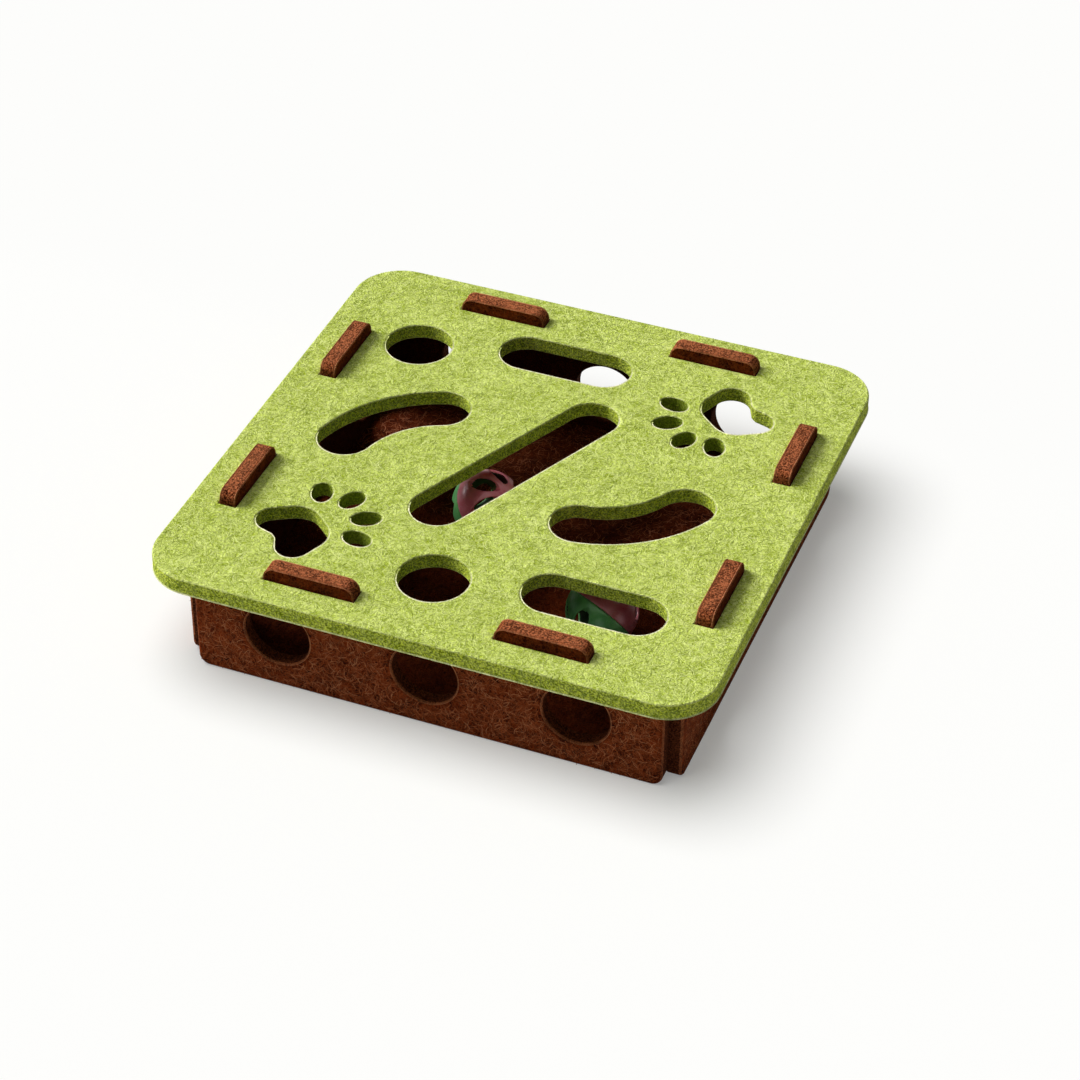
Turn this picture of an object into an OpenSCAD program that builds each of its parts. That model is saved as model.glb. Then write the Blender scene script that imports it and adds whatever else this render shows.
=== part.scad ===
// Felt maze box for cats: a square box of thick felt board that plugs together without glue.
// Four walls stand on edge round a loose floor, and their tabs come up through slots in the lid.
// Cats reach through the holes in the walls and the lid to chase two lattice balls with bells.
// Millimetres, +Z up. The origin is on the ground, under the middle of the box.

/* [Lid] */
// Side of the square lid
lid_side = 300; // [290:1:330]
// Radius of the lid's four corners
lid_corner_r = 27; // [10:1:40]
// How far the lid stands out past the walls
lid_overhang = 16.5; // [12:0.5:20]

/* [Felt] */
// Thickness of the felt board that every panel is cut from
felt_t = 9; // [7:0.5:10]
// Gap left between two felt panels that meet edge to face
panel_gap = 0.3; // [0.2:0.1:0.6]

/* [Walls] */
// Height of a wall, from the ground to the underside of the lid
wall_h = 59; // [56:1:80]
// How far the front and back walls lap past the inner faces of the side walls
wall_lap = 1.5; // [0:0.1:4]
// Radius of the two lower corners of a wall
wall_corner_r = 6; // [2:0.5:9]

/* [Wall holes] */
// Diameter of the reach-in holes in the walls
hole_d = 36; // [25:0.5:38]
// Distance between the middles of neighbouring holes
hole_pitch = 80.5; // [60:0.5:85]
// Height of the middle of the holes above the ground
hole_z = 32; // [29:0.5:36]

/* [Tabs] */
// Length of a tab along its wall
tab_len = 49; // [30:1:55]
// Distance of a tab's middle from the middle of its wall
tab_offset = 61.7; // [45:0.1:80]
// Height of a tab above the top of the lid
tab_proud = 7; // [4:0.5:10]
// Radius of the upper corners of a tab
tab_corner_r = 6; // [2:0.5:8]
// Clearance round a tab in its slot
tab_clearance = 0.4; // [0.2:0.1:1]

/* [Round lid holes] */
// Diameter of the two round holes in the lid
round_d = 38; // [30:0.5:40]
// Middle of the back round hole, from the middle of the lid
round_back_at = [-94.5, 83.3]; // [-100:0.1:100]
// Middle of the front round hole, from the middle of the lid
round_front_at = [-7.7, -101.7]; // [-102:0.1:100]

/* [Straight lid slots] */
// Length of the two straight slots, over their round ends
slot_len = 76; // [60:0.5:80]
// Width of the two straight slots
slot_w = 31; // [24:0.5:33]
// Middle of the back slot, from the middle of the lid
slot_back_at = [-14, 98]; // [-100:0.1:100]
// Middle of the front slot, from the middle of the lid
slot_front_at = [73.4, -91]; // [-100:0.1:100]

/* [Diagonal lid slot] */
// Length of the diagonal slot, over its round ends
diagonal_len = 141.5; // [110:0.5:146]
// Width of the diagonal slot
diagonal_w = 30; // [24:0.5:32]
// Slant of the diagonal slot, from the front edge
diagonal_slant = 65.5; // [60:0.5:72]
// Middle of the diagonal slot, from the middle of the lid
diagonal_at = [-5, 2.5]; // [-10:0.1:10]

/* [Curved lid slots] */
// Radius of the middle line of the curved slots
bend_r = 62; // [50:0.5:90]
// Angle that the middle line of the curved slots sweeps through
bend_sweep = 55; // [35:1:58]
// Width of the curved slots
bend_w = 31; // [24:0.5:33]
// Middle of the left curved slot's middle line, from the middle of the lid
bend_left_at = [-83.4, 15.8]; // [-90:0.1:90]
// Direction in which the left curved slot bulges
bend_left_turn = 139; // [130:1:150]
// Middle of the right curved slot's middle line, from the middle of the lid
bend_right_at = [70.9, -22.6]; // [-90:0.1:90]
// Direction in which the right curved slot bulges
bend_right_turn = -54.5; // [-65:0.5:-45]

/* [Paw cut-outs] */
// Middle of the front paw's pad, from the middle of the lid
paw_front_at = [-89.6, -92.7]; // [-95:0.1:95]
// Middle of the back paw's pad, from the middle of the lid
paw_back_at = [88, 88.1]; // [-95:0.1:95]
// Direction in which the front paw's toes point, from the front edge
paw_turn = 48.5; // [40:0.5:55]
// Radius of the two broad corners on the pad's toe side
pad_front_r = 14; // [11:0.5:15]
// Place of those corners: towards the toes, and to each side
pad_front_at = [3.5, 5]; // [2:0.5:7]
// Radius of the two lobes on the pad's heel side
pad_lobe_r = 9.8; // [8:0.2:11]
// Place of the lobes: away from the toes, and to each side
pad_lobe_at = [4.5, 12.2]; // [3:0.1:14]
// Length of a toe
toe_len = 16.8; // [12:0.2:18]
// Width of a toe
toe_w = 12; // [9:0.2:13]
// Place of the two inner toes: ahead of the pad's middle, and to each side
inner_toe_at = [37.6, 8.7]; // [8:0.1:40]
// Splay of the two inner toes
inner_toe_splay = 19.5; // [0:0.5:40]
// Place of the two outer toes: ahead of the pad's middle, and to each side
outer_toe_at = [26.4, 21.5]; // [18:0.1:30]
// Splay of the two outer toes
outer_toe_splay = 59.5; // [40:0.5:80]

/* [Balls] */
// Outer diameter of a lattice ball
ball_d = 38; // [34:0.5:40]
// Wall of a lattice ball
ball_wall = 1.6; // [1.2:0.1:2.4]
// Number of leaf-shaped windows in each half of a ball
window_count = 6; // [4:1:7]
// Length of a window along the ball's meridian
window_len = 19; // [12:0.5:20]
// Width of a window
window_w = 8.5; // [5:0.5:9.5]
// Angle of a window's middle from the ball's pole
window_tilt = 45; // [42:1:50]
// Height of the seam lip, by which one half sits in the other
seam_lip = 1.4; // [0.8:0.1:2]
// Gap between the two halves along their seam
seam_gap = 0.1; // [0.05:0.05:0.2]
// Gap between a ball and the floor that it rolls on
roll_gap = 0.3; // [0.2:0.1:0.5]
// Place of the first ball on the floor
ball_1_at = [-25, 11]; // [-100:0.5:100]
// Place of the second ball on the floor
ball_2_at = [63, -49]; // [-100:0.5:100]
// Turn of the first ball: tip of its pink pole from upright, heading of the tip, turn about the pole
ball_1_turn = [47, -13, 22]; // [-180:1:180]
// Turn of the second ball: tip of its pink pole from upright, heading of the tip, turn about the pole
ball_2_turn = [56, 64, -18]; // [-180:1:180]

/* [Bells] */
// Outer diameter of a bell
bell_d = 12; // [9:0.5:14]
// Thickness of a bell's sheet metal
bell_sheet = 0.5; // [0.4:0.1:0.8]
// Width of the crimped rim where a bell's two cups meet
bell_rim = 0.6; // [0.4:0.1:1]
// Width of the crossed slots in a bell
bell_slot = 1.3; // [0.8:0.1:1.8]
// Diameter of the holes that end the crossed slots
bell_slot_end_d = 2.2; // [1.6:0.1:2.6]
// Radius of a bell's hanging loop, to the middle of its wire
loop_r = 1.5; // [1.2:0.1:2]
// Diameter of the loop's wire
loop_wire_d = 0.9; // [0.6:0.1:1.2]
// Diameter of the pellet that rattles in a bell
pellet_d = 3.2; // [2.6:0.1:4]
// Gap under a bell in its ball, and under a pellet in its bell
rattle_gap = 0.2; // [0.1:0.05:0.3]

/* [Hidden] */
$fn = 96;
green_felt = [0.69, 0.75, 0.36];
brown_felt = [0.33, 0.16, 0.08];
pink_plastic = [0.72, 0.42, 0.47];
green_plastic = [0.24, 0.55, 0.36];
bell_metal = [0.80, 0.65, 0.32];
// How far a cut runs past the faces that it opens
over = 1;
// Number of flat sides that stand for an oval toe's curve
oval_sides = 40;

// Half distances from the middle of the box to the outer and inner faces of the walls
wall_out = lid_side / 2 - lid_overhang;
wall_in = wall_out - felt_t;
long_wall = 2 * (wall_in + wall_lap);
short_wall = 2 * (wall_in - panel_gap);
floor_side = 2 * (wall_in - panel_gap);
tab_h = felt_t + tab_proud;

ball_r = ball_d / 2;
ball_in = ball_r - ball_wall;
ball_z = felt_t + roll_gap + ball_r;
// Radius at which the two seam lips meet in the middle of the ball's wall
seam_r = ball_r - ball_wall / 2;
bell_r = bell_d / 2;
bell_in = bell_r - bell_sheet;
bell_drop = ball_in - bell_r - rattle_gap;
pellet_drop = bell_in - pellet_d / 2 - rattle_gap;
// Angle of the slots' end holes from the bottom of a bell
slot_end_tilt = 55;

// Square of the given side with rounded corners, about the middle
module rounded_square(side, r) {
    square([side, side - 2 * r], center = true);
    square([side - 2 * r, side], center = true);
    for (x = [-1, 1], y = [-1, 1])
        translate([x, y] * (side / 2 - r))
            circle(r);
}

// Strip of the given length and height that stands on y = 0, with its two upper corners rounded
module round_topped(len, h, r) {
    translate([-len / 2, 0])
        square([len, h - r]);
    translate([r - len / 2, 0])
        square([len - 2 * r, h]);
    for (x = [-1, 1])
        translate([x * (len / 2 - r), h - r])
            circle(r);
}

// Slot with round ends along X, about the middle
module round_ended(len, w) {
    square([len - w, w], center = true);
    for (x = [-1, 1])
        translate([x * (len - w) / 2, 0])
            circle(w / 2);
}

// Slot with round ends that follows an arc, from the middle of that arc at the origin, bulging along +X
module bent_slot(r, sweep, w, h) {
    translate([-r, 0, 0]) {
        rotate(-sweep / 2)
            rotate_extrude(angle = sweep)
                translate([r - w / 2, 0])
                    square([w, h]);
        for (side = [-1, 1])
            rotate(side * sweep / 2)
                translate([r, 0, 0])
                    cylinder(h = h, d = w);
    }
}

// Ellipse along X, about the middle
module oval(len, w) {
    polygon([for (i = [0 : oval_sides - 1]) [len * cos(360 / oval_sides * i), w * sin(360 / oval_sides * i)] / 2]);
}

// Two circles, and the straight sides that touch both
module joined_circles(p, p_r, q, q_r) {
    gap = norm(q - p);
    lean = acos((p_r - q_r) / gap);
    translate(p)
        rotate(atan2(q.y - p.y, q.x - p.x)) {
            circle(p_r);
            translate([gap, 0])
                circle(q_r);
            polygon([
                p_r * [cos(lean), sin(lean)],
                [gap, 0] + q_r * [cos(lean), sin(lean)],
                [gap, 0] + q_r * [cos(lean), -sin(lean)],
                p_r * [cos(lean), -sin(lean)]
            ]);
        }
}

// Paw: a pad with two lobes at its heel, and four toes along +X
module paw() {
    for (side = [-1, 1]) {
        corner = [pad_front_at.x, side * pad_front_at.y];
        lobe = [-pad_lobe_at.x, side * pad_lobe_at.y];
        joined_circles(corner, pad_front_r, lobe, pad_lobe_r);
        translate([inner_toe_at.x, side * inner_toe_at.y])
            rotate(side * inner_toe_splay)
                oval(toe_len, toe_w);
        translate([outer_toe_at.x, side * outer_toe_at.y])
            rotate(side * outer_toe_splay)
                oval(toe_len, toe_w);
    }
    translate([pad_front_at.x, 0])
        rotate(90)
            round_ended(2 * (pad_front_at.y + pad_front_r), 2 * pad_front_r);
}

// Everything cut through the lid's face, apart from the tab slots and the curved slots
module lid_cut_outs() {
    for (at = [round_back_at, round_front_at])
        translate(at)
            circle(d = round_d);
    for (at = [slot_back_at, slot_front_at])
        translate(at)
            round_ended(slot_len, slot_w);
    translate(diagonal_at)
        rotate(diagonal_slant)
            round_ended(diagonal_len, diagonal_w);
    translate(paw_front_at)
        rotate(paw_turn)
            paw();
    translate(paw_back_at)
        rotate(paw_turn + 180)
            paw();
}

// Slots for the two tabs of each wall
module tab_slots() {
    for (turn = [0, 90, 180, 270], x = [-1, 1])
        rotate(turn)
            translate([x * tab_offset, -wall_out + felt_t / 2])
                square([tab_len, felt_t] + 2 * tab_clearance * [1, 1], center = true);
}

// Lid: one square of felt that drops over the wall tabs and rests on the walls
module lid_panel() {
    cut_h = felt_t + 2 * over;
    color(green_felt)
        translate([0, 0, wall_h])
            difference() {
                linear_extrude(felt_t)
                    rounded_square(lid_side, lid_corner_r);
                translate([0, 0, -over]) {
                    linear_extrude(cut_h)
                        lid_cut_outs();
                    linear_extrude(cut_h)
                        tab_slots();
                    translate(bend_left_at)
                        rotate(bend_left_turn)
                            bent_slot(bend_r, bend_sweep, bend_w, cut_h);
                    translate(bend_right_at)
                        rotate(bend_right_turn)
                            bent_slot(bend_r, bend_sweep, bend_w, cut_h);
                }
            }
}

// Wall of the given length, standing at the front: two tabs on top and three reach-in holes
module wall(len) {
    color(brown_felt)
        translate([0, -wall_in, 0])
            rotate([90, 0, 0])
                difference() {
                    linear_extrude(felt_t) {
                        translate([0, wall_h])
                            mirror([0, 1])
                                round_topped(len, wall_h, wall_corner_r);
                        for (x = [-1, 1])
                            translate([x * tab_offset, wall_h - over])
                                round_topped(tab_len, tab_h + over, tab_corner_r);
                    }
                    for (x = [-1, 0, 1])
                        translate([x * hole_pitch, hole_z, -over])
                            cylinder(h = felt_t + 2 * over, d = hole_d);
                }
}

module front_wall() {
    wall(long_wall);
}

module back_wall() {
    rotate(180)
        wall(long_wall);
}

module left_wall() {
    rotate(270)
        wall(short_wall);
}

module right_wall() {
    rotate(90)
        wall(short_wall);
}

// Floor: a loose square of felt that drops in between the walls and lies on the ground
module bottom_panel() {
    color(brown_felt)
        linear_extrude(felt_t)
            square(floor_side, center = true);
}

// Part of a hollow sphere between two heights
module sphere_zone(r_out, r_in, low, high) {
    difference() {
        intersection() {
            sphere(r_out);
            translate([-r_out - over, -r_out - over, low])
                cube([2 * (r_out + over), 2 * (r_out + over), high - low]);
        }
        sphere(r_in);
    }
}

// Leaf-shaped windows round the upper pole of a ball
module ball_windows() {
    side_r = ((window_len / 2) ^ 2 + (window_w / 2) ^ 2) / window_w;
    for (i = [0 : window_count - 1])
        rotate([0, window_tilt, 360 / window_count * i])
            translate([0, 0, ball_in - over])
                linear_extrude(ball_wall + 2 * over)
                    intersection() {
                        translate([0, side_r - window_w / 2])
                            circle(side_r);
                        translate([0, window_w / 2 - side_r])
                            circle(side_r);
                    }
}

// Upper half of a ball: its outer lip comes down over the lower half
module upper_half() {
    difference() {
        union() {
            sphere_zone(ball_r, ball_in, 0, ball_r + over);
            sphere_zone(ball_r, seam_r + seam_gap / 2, -seam_lip, seam_gap);
        }
        ball_windows();
    }
}

// Lower half of a ball: its inner lip goes up inside the upper half
module lower_half() {
    difference() {
        union() {
            sphere_zone(ball_r, ball_in, -ball_r - over, -seam_lip - seam_gap);
            sphere_zone(seam_r - seam_gap / 2, ball_in, -seam_lip - 2 * seam_gap, -seam_gap);
        }
        mirror([0, 0, 1])
            rotate(180 / window_count)
                ball_windows();
    }
}

// Places a ball's shell on its spot: turned about its pink pole, which is tipped over and headed round
module ball_place(at, turn) {
    translate([at.x, at.y, ball_z])
        rotate([0, turn[0], turn[1]])
            rotate(turn[2])
                children();
}

// Places a bell at the bottom of a ball
module bell_place(at) {
    translate([at.x, at.y, ball_z - bell_drop])
        children();
}

// Upper cup of a bell, with the hanging loop
module bell_crown() {
    sphere_zone(bell_r, bell_in, 0, bell_r + over);
    difference() {
        cylinder(h = bell_sheet, r = bell_r + bell_rim);
        translate([0, 0, -over])
            cylinder(h = bell_sheet + 2 * over, r = bell_r - bell_sheet / 2);
    }
    difference() {
        translate([0, 0, bell_r + loop_r - loop_wire_d / 2])
            rotate([90, 0, 0])
                rotate_extrude()
                    translate([loop_r, 0])
                        circle(d = loop_wire_d);
        sphere(bell_r - bell_sheet / 2);
    }
}

// Lower cup of a bell, with the crossed slots that let the sound out
module bell_cup() {
    difference() {
        union() {
            sphere_zone(bell_r, bell_in, -bell_r - over, 0);
            translate([0, 0, -bell_sheet])
                difference() {
                    cylinder(h = bell_sheet, r = bell_r + bell_rim);
                    translate([0, 0, -over])
                        cylinder(h = bell_sheet + 2 * over, r = bell_r - bell_sheet / 2);
                }
        }
        for (turn = [0, 90])
            rotate(turn) {
                reach = bell_r * sin(slot_end_tilt);
                translate([-reach, -bell_slot / 2, -bell_r - over])
                    cube([2 * reach, bell_slot, bell_r + over - bell_r * cos(slot_end_tilt)]);
                for (side = [-1, 1])
                    rotate([0, 180 + side * slot_end_tilt, 0])
                        cylinder(h = bell_r + over, d = bell_slot_end_d);
            }
    }
}

module ball_1_pink_half() {
    color(pink_plastic)
        ball_place(ball_1_at, ball_1_turn)
            upper_half();
}

module ball_1_green_half() {
    color(green_plastic)
        ball_place(ball_1_at, ball_1_turn)
            lower_half();
}

module ball_1_bell_crown() {
    color(bell_metal)
        bell_place(ball_1_at)
            bell_crown();
}

module ball_1_bell_cup() {
    color(bell_metal)
        bell_place(ball_1_at)
            bell_cup();
}

module ball_1_pellet() {
    color(bell_metal)
        bell_place(ball_1_at)
            translate([0, 0, -pellet_drop])
                sphere(d = pellet_d);
}

module ball_2_pink_half() {
    color(pink_plastic)
        ball_place(ball_2_at, ball_2_turn)
            upper_half();
}

module ball_2_green_half() {
    color(green_plastic)
        ball_place(ball_2_at, ball_2_turn)
            lower_half();
}

module ball_2_bell_crown() {
    color(bell_metal)
        bell_place(ball_2_at)
            bell_crown();
}

module ball_2_bell_cup() {
    color(bell_metal)
        bell_place(ball_2_at)
            bell_cup();
}

module ball_2_pellet() {
    color(bell_metal)
        bell_place(ball_2_at)
            translate([0, 0, -pellet_drop])
                sphere(d = pellet_d);
}

bottom_panel();
front_wall();
back_wall();
left_wall();
right_wall();
lid_panel();
ball_1_pink_half();
ball_1_green_half();
ball_1_bell_crown();
ball_1_bell_cup();
ball_1_pellet();
ball_2_pink_half();
ball_2_green_half();
ball_2_bell_crown();
ball_2_bell_cup();
ball_2_pellet();
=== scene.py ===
import math

import bpy
from mathutils import Matrix, Vector


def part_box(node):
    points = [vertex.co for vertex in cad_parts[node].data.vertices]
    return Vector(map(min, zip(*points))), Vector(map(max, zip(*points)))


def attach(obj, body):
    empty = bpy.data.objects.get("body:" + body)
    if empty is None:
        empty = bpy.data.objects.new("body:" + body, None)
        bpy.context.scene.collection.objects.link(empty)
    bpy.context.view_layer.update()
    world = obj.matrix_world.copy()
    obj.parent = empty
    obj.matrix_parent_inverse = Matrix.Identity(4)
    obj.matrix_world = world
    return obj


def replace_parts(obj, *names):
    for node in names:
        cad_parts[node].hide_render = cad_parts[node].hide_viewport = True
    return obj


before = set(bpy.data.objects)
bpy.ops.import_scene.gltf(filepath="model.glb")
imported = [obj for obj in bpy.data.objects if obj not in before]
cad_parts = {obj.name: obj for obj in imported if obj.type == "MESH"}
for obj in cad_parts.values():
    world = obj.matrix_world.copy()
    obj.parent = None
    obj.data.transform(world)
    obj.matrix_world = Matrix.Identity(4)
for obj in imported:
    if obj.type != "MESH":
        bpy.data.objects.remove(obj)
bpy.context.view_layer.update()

# Floor board: a square of brown felt that lies loose between the walls, under the balls.
# Felt board is needle-punched, so it is a tangle of short fibres of several shades all through.
# It is die-cut from the sheet, which leaves soft rounded edges.
mm = 0.001
brown_shades = ((0.022, 0.001, 0.000), (0.265, 0.038, 0.004))
brown_pale = (0.400, 0.092, 0.024)
# brown_dark colours the dark fibres, and is also painted on marked faces as shade.
brown_dark = (0.025, 0.002, 0.000)
brown_cut = ((0.036, 0.005, 0.000), (0.520, 0.150, 0.056))
# The pale edge colour is painted on rims and lips as a highlight, and is the palest of the wall fibres.
brown_highlight_and_fibre = (0.620, 0.250, 0.115)
swirl_size, swirl_reach = 5 * mm, 3 * mm
fleck_size, clump_size, cloud_size = 0.9 * mm, 6 * mm, 30 * mm
pale_layers = ((5.0 * mm, 0.040, (0.1, 0.0, 0.0)), (3.6 * mm, 0.050, (0.0, 0.2, 0.0)),
               (2.6 * mm, 0.055, (0.2, 0.2, 0.0)))
dark_layers = ((4.2 * mm, 0.040, (0.0, 0.0, 0.3)), (3.0 * mm, 0.050, (0.4, 0.0, 0.0)))
weld = 1e-6
round_steps = 2
smooth_below = math.radians(14)
# How much painted highlight the rounded rims get.
rim_pale = 0.2
floor_round = 0.9 * mm
# How far the floor board is painted towards dark, as shade inside the box.
floor_dark = 0.76


class Wire:
    """A node's output: arithmetic on it adds Math nodes, and node() adds any other node."""

    def __init__(self, tree, socket=None):
        self.tree = tree
        self.socket = socket

    def node(self, kind, settings=None, inputs=None, out=0):
        made = self.tree.nodes.new(kind)
        for name, value in (settings or {}).items():
            if name == "stops":
                ramp = made.color_ramp
                while len(ramp.elements) < len(value):
                    ramp.elements.new(0.5)
                for element, (place, colour) in zip(ramp.elements, value):
                    element.position = place
                    element.color = (*colour, 1)
            else:
                setattr(made, name, value)
        for name, value in (inputs or {}).items():
            if isinstance(value, Wire):
                self.tree.links.new(value.socket, made.inputs[name])
            elif isinstance(value, tuple) and len(value) == 3 and made.inputs[name].type == "RGBA":
                made.inputs[name].default_value = (*value, 1)
            else:
                made.inputs[name].default_value = value
        return Wire(self.tree, made.outputs[out] if len(made.outputs) else None)

    def math(self, operation, first, second=0.0, clamp=False):
        settings = {"operation": operation, "use_clamp": clamp}
        return self.node("ShaderNodeMath", settings, {0: first, 1: second})

    def __add__(self, other):
        return self.math("ADD", self, other)

    def __sub__(self, other):
        return self.math("SUBTRACT", self, other)

    def __rsub__(self, other):
        return self.math("SUBTRACT", other, self)

    def __mul__(self, other):
        return self.math("MULTIPLY", self, other)

    __radd__ = __add__
    __rmul__ = __mul__


def new_material(name):
    """An empty node material and the wire that its nodes start from."""
    material = bpy.data.materials.new(name)
    material.use_nodes = True
    material.node_tree.nodes.clear()
    return material, Wire(material.node_tree)


def mixed(mask, under, over):
    """The colour under, with over laid on it where the mask is 1."""
    return mask.node("ShaderNodeMix", {"data_type": "RGBA"}, {0: mask, 6: under, 7: over}, out=2)


def noise(start, place, size, detail=1.0, roughness=0.5, out=0):
    """Smooth noise in lumps of about this size."""
    return start.node("ShaderNodeTexNoise", None, {
        "Vector": place, "Scale": 1 / size, "Detail": detail, "Roughness": roughness}, out=out)


def tangle(start, place, layers):
    """Thin curling lines, as loose fibres lie: the middle contours of smooth noises. Each layer gives the
    size of its curls, the width of its lines and how far it is shifted."""
    lines = None
    for size, width, shift in layers:
        moved = start.node("ShaderNodeVectorMath", {"operation": "ADD"}, {0: place, 1: shift})
        away = start.math("ABSOLUTE", noise(start, moved, size) - 0.5)
        line = start.math("SUBTRACT", 1.0, away * (1 / width), clamp=True)
        lines = line if lines is None else start.math("MAXIMUM", lines, line)
    return lines


def felt(name, shades, cut_shades, pale, dark, edge, pale_share, dark_share, grain_size, fuzz):
    """Felt board: two shades in a fine grain under a tangle of pale and dark fibres. The die's cut has
    shades of its own. Its rims are painted pale with edge as a highlight, and faces marked for it are
    painted towards dark as shade."""
    material, start = new_material(name)
    flat_place = start.node("ShaderNodeTexCoord", out="Object")
    swirl = noise(start, flat_place, swirl_size, detail=2.0, out="Color")
    swirl = start.node("ShaderNodeVectorMath", {"operation": "SUBTRACT"}, {0: swirl, 1: (0.5, 0.5, 0.5)})
    swirl = start.node("ShaderNodeVectorMath", {"operation": "SCALE"}, {0: swirl, "Scale": swirl_reach})
    place = start.node("ShaderNodeVectorMath", {"operation": "ADD"}, {0: flat_place, 1: swirl})
    grain = noise(start, place, grain_size, detail=2.0, roughness=0.6)
    flecks = noise(start, flat_place, fleck_size)
    clumps = noise(start, place, clump_size)
    cloud = noise(start, place, cloud_size)
    pale_fibres = tangle(start, place, pale_layers)
    dark_fibres = tangle(start, place, dark_layers)
    cut, rim, inner = (start.node("ShaderNodeAttribute", {"attribute_name": part}, out="Fac")
                       for part in ("cut", "rim", "inner"))
    mottle = (grain - 0.5) * 3.0 + (clumps - 0.5) * 1.8 + (cloud - 0.5) * 0.8
    tone = start.math("ADD", mottle, 0.5, clamp=True)
    cut_mottle = (flecks - 0.5) * 4.0 + (clumps - 0.5) * 0.8
    cut_tone = start.math("ADD", cut_mottle, 0.42, clamp=True)
    off_cut = 1 - cut * 0.7
    colour = mixed(cut, mixed(tone, *shades), mixed(cut_tone, *cut_shades))
    colour = mixed(pale_fibres * (clumps * 0.8 + 0.6) * off_cut * pale_share, colour, pale)
    colour = mixed(dark_fibres * off_cut * dark_share, colour, dark)
    # Painted highlight: rims and lips are paled towards the edge colour.
    colour = mixed(rim * (0.5 + tone), colour, edge)
    # Painted shade: marked faces are darkened towards the dark colour.
    colour = mixed(inner * 0.86, colour, dark)
    height = grain * 0.7 + pale_fibres * 0.4 - dark_fibres * 0.3
    bump = start.node("ShaderNodeBump", None, {"Strength": 0.8, "Distance": 0.8 * mm, "Height": height})
    shader = start.node("ShaderNodeBsdfPrincipled", None, {
        "Base Color": colour, "Roughness": 1.0 - grain * 0.15, "Normal": bump, "Specular IOR Level": 0.05,
        "Sheen Weight": fuzz, "Sheen Roughness": 0.4, "Sheen Tint": (*pale, 1)})
    start.node("ShaderNodeOutputMaterial", None, {"Surface": shader})
    return material


def selected_only(piece):
    """Leaves nothing but this piece selected and active."""
    bpy.ops.object.select_all(action="DESELECT")
    piece.select_set(True)
    bpy.context.view_layer.objects.active = piece


def own_copy(node, name):
    """A loose copy of a node with its triangles merged, to be shaped into a finished piece."""
    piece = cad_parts[node].copy()
    piece.data = piece.data.copy()
    piece.name = name
    piece.parent = None
    for key in list(piece.keys()):
        del piece[key]
    bpy.context.scene.collection.objects.link(piece)
    selected_only(piece)
    bpy.ops.object.mode_set(mode="EDIT")
    bpy.ops.mesh.select_all(action="SELECT")
    bpy.ops.mesh.remove_doubles(threshold=weld)
    bpy.ops.mesh.select_mode(type="FACE")
    bpy.ops.mesh.select_all(action="DESELECT")
    bpy.ops.object.mode_set(mode="OBJECT")
    return piece


def die_cut(node, name, flat, edge_round, lipped=None, lip=0.0, end_pale=0.0):
    """The node's board again with soft edges: its outline is lifted off one face, filled and rounded over.
    flat turns the board's thickness to +Z. Where lipped says so, a thin lip is drawn out of the edge. The
    lip's sides are painted pale as a highlight, its end as much as end_pale, and the rounded rims a little."""
    board = own_copy(node, name)
    board.data.transform(flat)
    heights = [spot.co.z for spot in board.data.vertices]
    lowest, highest = min(heights), max(heights)
    for face in board.data.polygons:
        face.select = face.normal.z > 0.9
    bpy.ops.object.mode_set(mode="EDIT")
    bpy.ops.mesh.region_to_loop()
    bpy.ops.mesh.select_all(action="INVERT")
    bpy.ops.mesh.delete(type="EDGE")
    bpy.ops.object.mode_set(mode="OBJECT")
    bpy.ops.object.convert(target="CURVE")
    board = bpy.context.object
    outline = board.data
    outline.dimensions = "2D"
    outline.fill_mode = "BOTH"
    outline.offset = -edge_round
    outline.extrude = (highest - lowest) / 2 - edge_round
    outline.bevel_depth = edge_round
    outline.bevel_resolution = round_steps
    bpy.ops.object.convert(target="MESH")
    board = bpy.context.object
    board.data.transform(flat.inverted() @ Matrix.Translation((0, 0, (lowest + highest) / 2)))
    bpy.ops.object.mode_set(mode="EDIT")
    bpy.ops.mesh.select_all(action="SELECT")
    bpy.ops.mesh.remove_doubles(threshold=weld)
    bpy.ops.mesh.normals_make_consistent(inside=False)
    bpy.ops.mesh.select_all(action="DESELECT")
    bpy.ops.object.mode_set(mode="OBJECT")
    lip_edges = set()
    if lipped:
        for face in board.data.polygons:
            face.select = lipped(face)
        bpy.ops.object.mode_set(mode="EDIT")
        bpy.ops.mesh.extrude_region_shrink_fatten(TRANSFORM_OT_shrink_fatten={"value": lip})
        bpy.ops.object.mode_set(mode="OBJECT")
        lip_edges = {edge for face in board.data.polygons if face.select for edge in face.edge_keys}
    bpy.ops.object.shade_smooth_by_angle(angle=smooth_below)
    thickness = flat.to_3x3().inverted() @ Vector((0, 0, 1))
    # cut marks the die's cut faces. The rim mark holds a painted highlight: full on a lip's sides, end_pale
    # on its end, rim_pale on the rounded rims.
    cut = board.data.attributes.new("cut", "FLOAT", "FACE").data
    rim = board.data.attributes.new("rim", "FLOAT", "FACE").data
    for face in board.data.polygons:
        share = abs(face.normal.dot(thickness))
        cut[face.index].value = 1.0 - min(1.0, share * 1.2)
        if lip_edges.intersection(face.edge_keys):
            rim[face.index].value = end_pale if face.select else 1.0
        elif 0.15 < share < 0.95:
            rim[face.index].value = rim_pale
    # The painted-shade mark starts empty; callers fill it in.
    board.data.attributes.new("inner", "FLOAT", "FACE")
    return board


lying = Matrix.Identity(4)
brown_felt = felt("brown_felt", brown_shades, brown_cut, brown_pale, brown_dark, brown_highlight_and_fibre,
                  pale_share=0.55, dark_share=0.40, grain_size=0.9 * mm, fuzz=0.03)
bottom = die_cut("bottom_panel", "bottom_panel_felt", lying, floor_round)
# The whole floor board is painted darker, as shade inside the box.
bottom.data.attributes["inner"].data.foreach_set("value", [floor_dark] * len(bottom.data.polygons))
bottom.data.materials.append(brown_felt)
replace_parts(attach(bottom, "box"), "bottom_panel")
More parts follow.
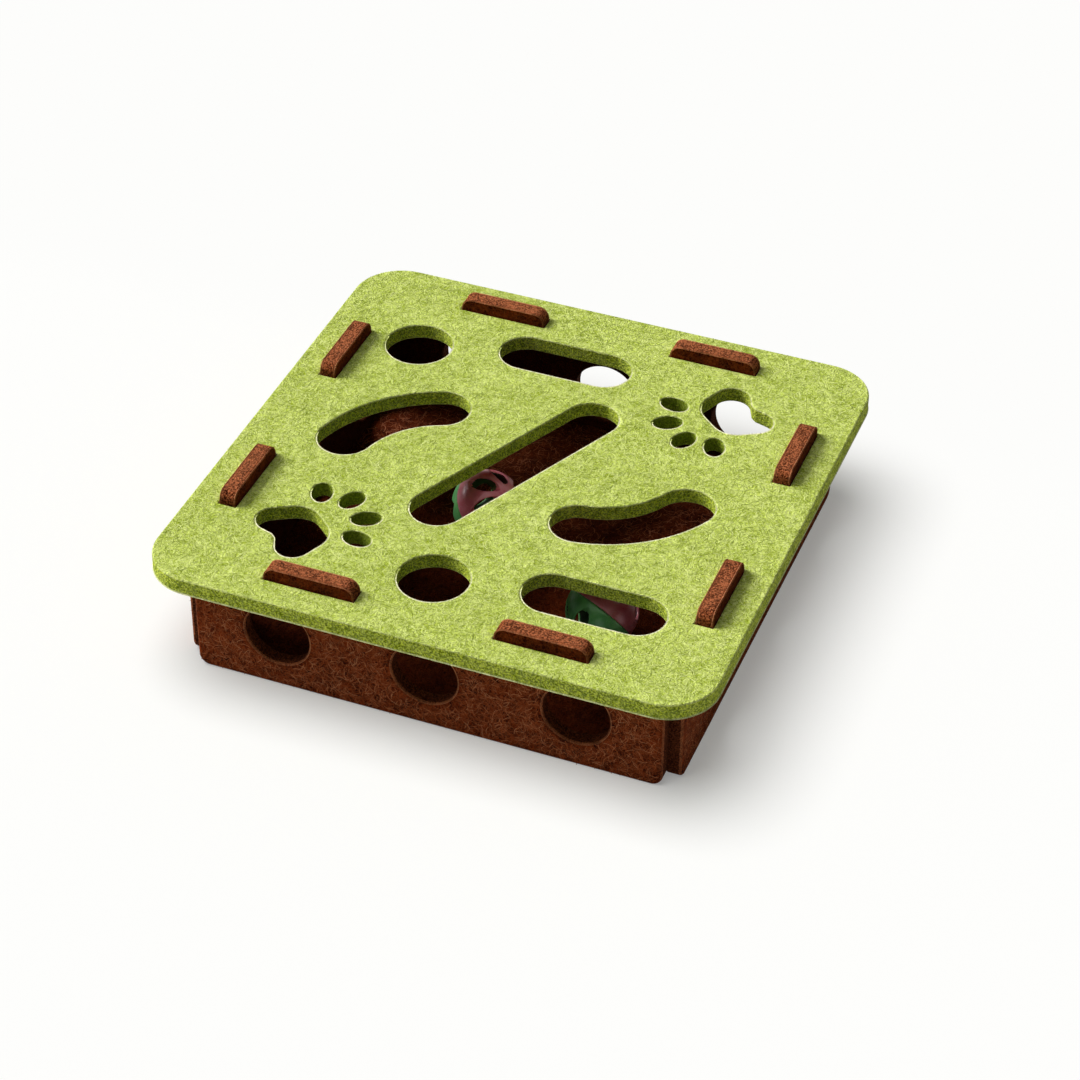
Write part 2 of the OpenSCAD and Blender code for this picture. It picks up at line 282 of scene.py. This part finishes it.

# Four walls of brown felt board on edge: front and back lap past the two side walls, whose ends press
# against their soft edges. Each has three die-cut reach-in holes, and two tabs on top that plug through
# the lid, whose tops are painted paler, as light from above and some wear. The inner sides, the cuts of
# the holes and the tab sides are painted dark, as shade.
standing = Matrix.Rotation(math.radians(-90), 4, "X")
wall_round = 1.6 * mm
wall_lip = 0.45 * mm
# How much painted highlight the ends of the walls' lips get.
lip_end_pale = 0.35
shoulder = 59 * mm
tab_foot = shoulder + 2 * mm
hole_low, hole_high, hole_reach = 8 * mm, 56 * mm, 120 * mm
wall_end = 124.2 * mm
end_zone = 7 * mm
end_press = 1.0 * mm
# Painted shade on the inner sides, the hole cuts and the tab sides; the tab tops are painted paler, as light
# from above and some wear.
inside_dark, hole_dark, tab_dark = 1.0, 0.8, 0.5
tab_top_pale = 0.12
walls = {}
for side, turns in (("front", 0), ("right", 1), ("back", 2), ("left", 3)):
    to_front = Matrix.Rotation(math.radians(-90 * turns), 4, "Z")
    outwards = to_front.to_3x3().inverted() @ Vector((0, -1, 0))
    sideways = to_front.to_3x3().inverted() @ Vector((1, 0, 0))

    def wall_lips(face):
        """The outer rims of the holes, and the outer and inner rims of the tabs."""
        by_hole = hole_low < face.center.z < hole_high and abs(face.center.dot(sideways)) < hole_reach
        facing = face.normal.dot(outwards)
        return by_hole and 0.5 < facing < 0.8 or face.center.z > tab_foot and 0.5 < abs(facing) < 0.8

    wall = die_cut(f"{side}_wall", f"{side}_wall_felt", standing @ to_front, wall_round, wall_lips,
                   lip=wall_lip, end_pale=lip_end_pale)
    if side in ("right", "left"):
        bpy.ops.object.mode_set(mode="EDIT")
        bpy.ops.mesh.select_all(action="DESELECT")
        bpy.ops.object.mode_set(mode="OBJECT")
        spots = wall.data.vertices
        for face in wall.data.polygons:
            face.select = all(abs(spots[v].co.y) > wall_end - end_zone for v in face.vertices)
        bpy.ops.object.mode_set(mode="EDIT")
        bpy.ops.transform.resize(value=(1, 1 + end_press / wall_end, 1), center_override=(0, 0, 0))
        bpy.ops.object.mode_set(mode="OBJECT")
    shade = wall.data.attributes["inner"].data
    painted_highlight = wall.data.attributes["rim"].data
    # Painted shade inside, in the holes and on the tab sides; the tab tops are painted paler as light from
    # above and some wear.
    for face in wall.data.polygons:
        facing = face.normal.dot(outwards)
        if face.center.z < shoulder:
            shade[face.index].value = inside_dark if facing < -0.5 else hole_dark if facing < 0.1 else 0.0
        elif abs(face.normal.z) < 0.4:
            shade[face.index].value = tab_dark
        elif face.normal.z > 0.9:
            painted_highlight[face.index].value = tab_top_pale
    wall.data.materials.append(brown_felt)
    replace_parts(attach(wall, "box"), f"{side}_wall")
    walls[side] = wall

# Lid: a square of green felt board with rounded corners, pushed down over the walls' eight tabs.
# All its openings, two paw prints among them, are die-cut in one stroke. A thin lip is drawn over the upper
# # rims that face towards the back and along the lid's lower rim, and is painted pale as a highlight. The
# cuts
# # of the small toe holes are painted dark, as shade.
green_shades = ((0.340, 0.435, 0.026), (0.740, 0.865, 0.180))
green_cut = ((0.170, 0.245, 0.003), (0.770, 0.880, 0.085))
green_pale = (0.830, 0.905, 0.350)
# green_dark colours the dark fibres, and is also painted on marked faces as shade.
green_dark = (0.170, 0.240, 0.008)
# A cream painted on the lid's rims and lips as a highlight.
green_highlight = (0.960, 0.930, 0.620)
# Lips are drawn on the upper rims of the openings that face this way, and their painted highlight fades with
# how they face it.
lip_highlight_side = Vector((-0.36, 0.93, 0.0))
lid_round = 0.9 * mm
lid_lip = 0.65 * mm
outer_edge = 140 * mm
slots_along, slots_across = (30 * mm, 94 * mm), (120 * mm, 138 * mm)
paw_pads = (Vector((-89.6, -92.7)) * mm, Vector((88.0, 88.1)) * mm)
toes_from, toes_to = 24 * mm, 47 * mm
# Painted shade on the cuts of the toe holes.
toe_dark = 0.8
# How much painted highlight the lid's lower rim and the openings' lips get.
outer_pale = 0.45
lip_pale, lip_fade = 0.7, 7.7
green_felt = felt("green_felt", green_shades, green_cut, green_pale, green_dark, green_highlight,
                  pale_share=0.60, dark_share=0.45, grain_size=1.1 * mm, fuzz=0.12)


def lid_lips(face):
    """The upper rims of the openings that face towards the back, outside the tab slots, and the lid's lower
    rim.
    """
    near, far = sorted((abs(face.center.x), abs(face.center.y)))
    by_slot = slots_along[0] < near < slots_along[1] and slots_across[0] < far < slots_across[1]
    up = face.normal.z
    rim_on_lip_side = 0.15 < up < 0.4 and far < outer_edge and face.normal.dot(lip_highlight_side) > -0.35
    return rim_on_lip_side and not by_slot or -0.8 < up < -0.5 and far > outer_edge


lid = die_cut("lid_panel", "lid_panel_felt", lying, lid_round, lid_lips, lip=lid_lip)
painted_highlight = lid.data.attributes["rim"].data
shade = lid.data.attributes["inner"].data
for face in lid.data.polygons:
    from_pads = [(face.center.xy - pad).length for pad in paw_pads]
    # The cuts of the toe holes are painted dark, as shade.
    if abs(face.normal.z) < 0.4 and any(toes_from < length < toes_to for length in from_pads):
        shade[face.index].value = toe_dark
    # The lid's lower rim gets a weaker painted highlight; the openings' lips get one that fades with how they
    # face.
    if max(abs(face.center.x), abs(face.center.y)) > outer_edge:
        painted_highlight[face.index].value *= outer_pale
    elif painted_highlight[face.index].value > 0.9:
        painted_highlight[face.index].value = min(1.0, max(0.0, lip_pale - lip_fade * face.normal.dot(lip_highlight_side)))
lid.data.materials.append(green_felt)
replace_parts(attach(lid, "lid"), "lid_panel")

# Loose fibres: needle-punching leaves them lying on the boards. One is modelled as a curled ribbon and
# strewn over the tops of lid and floor board and the outer sides of the walls, but not where the tabs
# slide, the lid lies or the balls roll, nor on the front part of the floor board.
floor_shades = ((0.205, 0.045, 0.014), (0.255, 0.078, 0.034), (0.380, 0.140, 0.070))
fibre_len = 5.0 * mm
fibre_w = 0.26 * mm
fibre_curl = 0.55
fibre_rise, fibre_droop = 0.08 * mm, 0.2 * mm
fibre_tilt, fibre_turn = 0.05, 6.283
fibre_sizes = (0.5, 1.25)
edge_room = 0.4 * fibre_len
columns = 16
lid_count, floor_count, wall_count = 4.2e5, 2.0e5, 6.5e5
wall_outside = 133 * mm
tabs_across, tabs_along, tabs_high = (120, 138), (31, 93), (60, 90)
lid_touch = (55.5, 67)
ball_lane = (-1, 7)
floor_side, floor_high, floor_front = (-1, 124), (0, 12), (-200, -20)
bpy.ops.object.select_all(action="DESELECT")
bpy.ops.mesh.primitive_grid_add(x_subdivisions=3, y_subdivisions=1, size=1)
fibre = bpy.context.object
for spot in fibre.data.vertices:
    along, across = spot.co.x, spot.co.y
    spot.co = (along * fibre_len, across * fibre_w + fibre_curl * along ** 2 * fibre_len,
               fibre_rise - fibre_droop * along ** 2)
strewing = bpy.data.node_groups.new("strewing", "GeometryNodeTree")
strewing.interface.new_socket("Geometry", in_out="INPUT", socket_type="NodeSocketGeometry")
strewing.interface.new_socket("Geometry", in_out="OUTPUT", socket_type="NodeSocketGeometry")
start = Wire(strewing)


def axis_of(vector, axis):
    """One of the three numbers of a vector."""
    return vector.node("ShaderNodeSeparateXYZ", None, {0: vector}, out=axis)


def within(value, low, high):
    """1 where the value lies between two sizes in millimetres."""
    return value.math("GREATER_THAN", value, low * mm) * value.math("LESS_THAN", value, high * mm)


def drawn(start, low, high, seed):
    """A number drawn for each fibre."""
    return start.node("FunctionNodeRandomValue", None, {2: low, 3: high, "Seed": seed}, out=1)


def stored(start, name, kind="FLOAT"):
    """What the mesh keeps under this name."""
    return start.node("GeometryNodeInputNamedAttribute", {"data_type": kind}, {"Name": name})


def ball_middle(ball):
    """The middle of a ball, from the boxes of its two halves."""
    low, high = (Vector(corner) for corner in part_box(f"{ball}_pink_half"))
    other_low, other_high = (Vector(corner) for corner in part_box(f"{ball}_green_half"))
    return Vector([(min(a, b) + max(c, d)) / 2 for a, b, c, d in zip(low, other_low, high, other_high)])


place = start.node("GeometryNodeInputPosition")
depth = axis_of(place, 1)
x, y, z = (start.math("ABSOLUTE", axis_of(place, axis)) for axis in range(3))
by_tabs = within(x, *tabs_across) * within(y, *tabs_along)
by_tabs = by_tabs + within(y, *tabs_across) * within(x, *tabs_along)
by_tabs = by_tabs * within(z, *tabs_high)
under_lid = within(z, *lid_touch)
lanes = [within(start.math("ABSOLUTE", depth - ball_middle(ball).y), *ball_lane)
         for ball in ("ball_1", "ball_2")]
on_floor = within(x, *floor_side) * within(y, *floor_side) * within(z, *floor_high)
kept_bare = by_tabs + under_lid + (lanes[0] + lanes[1] + within(depth, *floor_front)) * on_floor
board = start.node("NodeGroupInput")
cuts = start.node("GeometryNodeSeparateGeometry", {"domain": "FACE"}, {0: board, 1: stored(start, "rim")})
to_edge = start.node("GeometryNodeProximity", {"target_element": "FACES"}, {0: cuts}, out="Distance")
points = start.node("GeometryNodeDistributePointsOnFaces", None, {
    "Mesh": board, "Density": stored(start, "strew"), "Seed": 7})
surface_turn = Wire(strewing, points.socket.node.outputs["Rotation"])
lie = start.node("FunctionNodeRandomValue", {"data_type": "FLOAT_VECTOR"}, {
    0: (-fibre_tilt, -fibre_tilt, 0.0), 1: (fibre_tilt, fibre_tilt, fibre_turn), "Seed": 1})
lie = start.node("FunctionNodeEulerToRotation", None, {0: lie})
turn = start.node("FunctionNodeRotateRotation", {"rotation_space": "LOCAL"}, {0: surface_turn, 1: lie})
size = drawn(start, *fibre_sizes, seed=2)
ribbon = start.node("GeometryNodeObjectInfo", None, {"Object": fibre}, out="Geometry")
has_room = start.math("GREATER_THAN", to_edge - size * edge_room, kept_bare)
strewn = start.node("GeometryNodeInstanceOnPoints", None, {
    "Points": points, "Instance": ribbon, "Rotation": turn, "Scale": size, "Selection": has_room})
column = start.math("FLOOR", drawn(start, 0.0, columns - 0.01, seed=3))
strewn = start.node("GeometryNodeStoreNamedAttribute", {"data_type": "FLOAT", "domain": "INSTANCE"}, {
    "Geometry": strewn, "Name": "column", "Value": column})
strewn = start.node("GeometryNodeRealizeInstances", None, {"Geometry": strewn})
own_map = stored(start, "UVMap", "FLOAT_VECTOR")
strip = start.node("ShaderNodeCombineXYZ", None, {
    0: (stored(start, "column") + axis_of(own_map, 1)) * (1 / columns), 1: axis_of(own_map, 0)})
strewn = start.node("GeometryNodeStoreNamedAttribute", {"data_type": "FLOAT2", "domain": "CORNER"}, {
    "Geometry": strewn, "Name": "OFBake", "Value": strip})
start.node("NodeGroupOutput", None, {0: strewn})


def fibre_look(name, dark, low, high, pale):
    """Single fibres: a column of the map for each shade from dark to pale, a little paler at the two ends."""
    material, start = new_material(name)
    map_place = start.node("ShaderNodeUVMap", {"uv_map": "OFBake"})
    column = axis_of(map_place, 0)
    along = axis_of(map_place, 1)
    stops = ((0.0, dark), (0.3, low), (0.7, high), (1.0, pale))
    shade = start.node("ShaderNodeValToRGB", {"stops": stops}, {0: column})
    shade = mixed(start.math("ABSOLUTE", along - 0.5) * 0.5, shade, pale)
    shader = start.node("ShaderNodeBsdfPrincipled", None, {
        "Base Color": shade, "Roughness": 0.95 - column * 0.1, "Specular IOR Level": 0.05})
    start.node("ShaderNodeOutputMaterial", None, {"Surface": shader})
    return material


def strew_fibres(board, name, share, body, look):
    """A layer of loose fibres on a board: share gives each face its count on a square metre."""
    layer = bpy.data.objects.new(name, board.data.copy())
    bpy.context.scene.collection.objects.link(layer)
    counts = layer.data.attributes.new("strew", "FLOAT", "FACE")
    counts.data.foreach_set("value", [share(face) for face in layer.data.polygons])
    selected_only(layer)
    layer.modifiers.new("fibres", "NODES").node_group = strewing
    bpy.ops.object.modifier_apply(modifier="fibres")
    layer.data.uv_layers.remove(layer.data.uv_layers["UVMap"])
    layer.data.uv_layers["OFBake"].active = True
    layer.data.uv_layers["OFBake"].active_render = True
    layer.data.materials.clear()
    layer.data.materials.append(look)
    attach(layer, body)
    return layer


def lid_share(face):
    """Fibres on the lid's top."""
    return lid_count if face.normal.z > 0.95 else 0.0


def floor_share(face):
    """Fibres on the floor board's top."""
    return floor_count if face.normal.z > 0.95 else 0.0


def wall_share(face):
    """Fibres on a wall's outer side, below the lid."""
    outside = max(abs(face.center.x), abs(face.center.y)) > wall_outside
    return wall_count if outside and face.center.z < shoulder and abs(face.normal.z) < 0.1 else 0.0


green_fibre = fibre_look("green_fibre", green_dark, *green_shades, green_pale)
strew_fibres(lid, "lid_fibres", lid_share, "lid", green_fibre)
brown_fibre = fibre_look("brown_fibre", *brown_shades, brown_pale, brown_highlight_and_fibre)
floor_fibre = fibre_look("floor_fibre", brown_shades[0], *floor_shades)
bottom_fibres = strew_fibres(bottom, "bottom_panel_fibres", floor_share, "box", floor_fibre)
for side, wall in walls.items():
    strew_fibres(wall, f"{side}_wall_fibres", wall_share, "box", brown_fibre)
bpy.data.objects.remove(fibre)

# Two lattice balls, each of a pink and a green moulded half whose stepped rims nest at the seam.
# # Six leaf-shaped windows round each pole let the bell inside be heard. Moulding rounds every edge,
# # and the soft plastic is dull, a little cloudy and scuffed by claws. The halves' inner faces are painted
# # dark, as shade inside the ball.
pink_tints = ((0.640, 0.105, 0.150), (0.820, 0.250, 0.300))
pink_scuff = (0.780, 0.520, 0.530)
green_tints = ((0.090, 0.400, 0.110), (0.200, 0.600, 0.190))
green_scuff = (0.400, 0.600, 0.430)
# Near black painted on the balls' inner faces, as shade.
ball_inside_shade = (0.012, 0.010, 0.010)
scratch_layers = ((7 * mm, 0.008, (0.0, 0.1, 0.0)), (5 * mm, 0.006, (0.3, 0.0, 0.0)))
haze_size, peel_size = 9 * mm, 0.9 * mm
ball_grid, ball_passes = 0.42 * mm, 5


def plastic(name, tints, scuff):
    """Moulded plastic: a slow drift between two tints, fine scratches and a faint orange-peel skin. Faces
    marked for it are painted near black, as shade.
    """
    material, start = new_material(name)
    place = start.node("ShaderNodeTexCoord", out="Object")
    haze = noise(start, place, haze_size, detail=2.0)
    peel = noise(start, place, peel_size)
    scratches = tangle(start, place, scratch_layers)
    inner = start.node("ShaderNodeAttribute", {"attribute_name": "inner"}, out="Fac")
    drift = start.math("ADD", (haze - 0.5) * 2.4, 0.5, clamp=True)
    colour = mixed(scratches * 0.35, mixed(drift, *tints), scuff)
    # Painted shade: marked faces are darkened towards near black.
    colour = mixed(inner * 0.8, colour, ball_inside_shade)
    bump = start.node("ShaderNodeBump", None, {
        "Strength": 0.3, "Distance": 0.1 * mm, "Height": peel - scratches * 0.4})
    shader = start.node("ShaderNodeBsdfPrincipled", None, {
        "Base Color": colour, "Roughness": 0.24 + haze * 0.12 + scratches * 0.15, "Normal": bump})
    start.node("ShaderNodeOutputMaterial", None, {"Surface": shader})
    return material


def softened(node, name, grid, passes):
    """A copy of a node on an even grid of faces, smoothed until its edges are round."""
    piece = own_copy(node, name)
    remesh = piece.modifiers.new("grid", "REMESH")
    remesh.mode = "VOXEL"
    remesh.voxel_size = grid
    bpy.ops.object.modifier_apply(modifier="grid")
    smooth = piece.modifiers.new("round", "SMOOTH")
    smooth.factor = 0.5
    smooth.iterations = passes
    bpy.ops.object.modifier_apply(modifier="round")
    bpy.ops.object.shade_smooth()
    return piece


half_plastic = {"pink": plastic("pink_plastic", pink_tints, pink_scuff),
                "green": plastic("green_plastic", green_tints, green_scuff)}
for ball in ("ball_1", "ball_2"):
    middle = ball_middle(ball)
    for tint, look in half_plastic.items():
        half = softened(f"{ball}_{tint}_half", f"{ball}_{tint}_shell", ball_grid, ball_passes)
        # Faces that look into the ball are marked to be painted dark, as shade.
        inner = half.data.attributes.new("inner", "FLOAT", "FACE")
        for face in half.data.polygons:
            facing_in = face.normal.dot((middle - face.center).normalized())
            inner.data[face.index].value = 1.0 if facing_in > 0.4 else 0.0
        half.data.materials.clear()
        half.data.materials.append(look)
        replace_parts(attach(half, ball), f"{ball}_{tint}_half")

# Bells: two cups of pressed brass sheet crimped together at a rim, a loop on the crown and crossed slots
# in the cup, with a small pellet loose inside. Handling and damp leave the brass patchy.
brass_tints = ((0.560, 0.330, 0.100), (0.880, 0.640, 0.270))
brass_tarnish = (0.150, 0.085, 0.035)
patch_size, dust_size = 2.5 * mm, 0.4 * mm
sheet_grid, pellet_grid, bell_passes = 0.16 * mm, 0.12 * mm, 2
brass, start = new_material("bell_metal")
place = start.node("ShaderNodeTexCoord", out="Object")
patch = noise(start, place, patch_size, detail=3.0)
dust = noise(start, place, dust_size, detail=2.0)
dull = start.math("ADD", (patch - 0.58) * 5.0, dust * 0.1, clamp=True)
drift = start.math("ADD", (patch - 0.5) * 3.0, 0.5, clamp=True)
bump = start.node("ShaderNodeBump", None, {"Strength": 0.2, "Distance": 0.05 * mm, "Height": dust + patch})
shader = start.node("ShaderNodeBsdfPrincipled", None, {
    "Base Color": mixed(dull * 0.6, mixed(drift, *brass_tints), brass_tarnish),
    "Metallic": 1.0 - dull * 0.3, "Roughness": 0.22 + dull * 0.3 + dust * 0.08, "Normal": bump})
start.node("ShaderNodeOutputMaterial", None, {"Surface": shader})
for number in (1, 2):
    for part, grid in (("bell_crown", sheet_grid), ("bell_cup", sheet_grid), ("pellet", pellet_grid)):
        node = f"ball_{number}_{part}"
        metal = softened(node, f"{node}_brass", grid, bell_passes)
        metal.data.materials.clear()
        metal.data.materials.append(brass)
        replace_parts(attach(metal, f"bell_{number}"), node)

# Studio: a pale floor with a broad lamp of its own overhead. The box has a strong lamp low on the left,
# and a weak one overhead that leaves out the floor board. Floor and surround are white where they are
# seen, the floor most behind the box, and it keeps the shadow.
studio_white = (0.98, 0.98, 0.965)
paper_white = (0.975, 0.975, 0.960)
paper_dim = (0.58, 0.58, 0.57)
lift_near, lift_more = 0.25, 0.6
lift_from, lift_over = 150 * mm, 50 * mm
surround_light = 0.11
bpy.ops.object.select_all(action="DESELECT")
bpy.ops.mesh.primitive_plane_add(size=12)
ground = bpy.context.object
ground.name = "studio_floor"


def looked_at(start):
    """1 on what the camera sees, straight or in gloss and glass."""
    straight, gloss, glass = (start.node("ShaderNodeLightPath", out=ray) for ray in (
        "Is Camera Ray", "Is Glossy Ray", "Is Transmission Ray"))
    return start.math("ADD", straight, gloss + glass, clamp=True)


floor_material, start = new_material("studio_floor")
paper = start.node("ShaderNodeBsdfDiffuse", None, {"Color": paper_white})
glow = start.node("ShaderNodeEmission", None, {"Color": studio_white, "Strength": 1.0})
behind = axis_of(start.node("ShaderNodeTexCoord", out="Object"), 1)
lift = lift_near + start.math("MULTIPLY", behind - lift_from, 1 / lift_over, clamp=True) * lift_more
lifted = start.node("ShaderNodeMixShader", None, {0: lift, 1: paper, 2: glow})
dim = start.node("ShaderNodeBsdfDiffuse", None, {"Color": paper_dim})
shader = start.node("ShaderNodeMixShader", None, {0: looked_at(start), 1: dim, 2: lifted})
start.node("ShaderNodeOutputMaterial", None, {"Surface": shader})
ground.data.materials.append(floor_material)
for name, energy, width, lamp_from, state, linked in (
        ("key_lamp", 4.05, 32, Vector((-0.808, 0.030, 0.588)), "EXCLUDE", (ground,)),
        ("top_lamp", 0.58, 60, Vector((-0.240, -0.150, 0.960)), "EXCLUDE", (ground, bottom, bottom_fibres)),
        ("floor_lamp", 2.95, 55, Vector((-0.240, -0.090, 0.960)), "INCLUDE", (ground,))):
    bpy.ops.object.light_add(type="SUN")
    lamp = bpy.context.object
    lamp.name = name
    lamp.data.energy = energy
    lamp.data.angle = math.radians(width)
    lamp.rotation_mode = "QUATERNION"
    lamp.rotation_quaternion = lamp_from.to_track_quat("Z", "Y")
    lights = bpy.data.collections.new(f"{name}_lights")
    for number, piece in enumerate(linked):
        lights.objects.link(piece)
        lights.collection_objects[number].light_linking.link_state = state
    lamp.light_linking.receiver_collection = lights
world = bpy.data.worlds.new("studio")
bpy.context.scene.world = world
world.use_nodes = True
world.node_tree.nodes.clear()
start = Wire(world.node_tree)
surround = start.node("ShaderNodeBackground", None, {"Color": (1.0, 1.0, 1.0), "Strength": surround_light})
backdrop = start.node("ShaderNodeBackground", None, {"Color": studio_white, "Strength": 1.0})
shader = start.node("ShaderNodeMixShader", None, {0: looked_at(start), 1: surround, 2: backdrop})
start.node("ShaderNodeOutputWorld", None, {"Surface": shader})

# Camera: above the front right corner, as the photograph was taken, with a long lens
# and turned a little about its own axis.
camera = bpy.data.objects.new("camera", bpy.data.cameras.new("camera"))
bpy.context.scene.collection.objects.link(camera)
camera.data.sensor_width = 36
camera.data.lens = 99.74
azimuth, elevation, roll = (math.radians(angle) for angle in (20.952, 38.346, 0.629))
looks_at = Vector((0.03027, -0.05357, 0.068))
distance = 1.5119
level = math.cos(elevation)
back = Vector((math.sin(azimuth) * level, -math.cos(azimuth) * level, math.sin(elevation)))
camera.rotation_mode = "QUATERNION"
camera.rotation_quaternion = back.to_track_quat("Z", "Y") @ Matrix.Rotation(roll, 3, "Z").to_quaternion()
camera.location = looks_at + back * distance
bpy.context.scene.camera = camera
bpy.context.scene.view_settings.view_transform = "Standard"

bpy.context.view_layer.update()
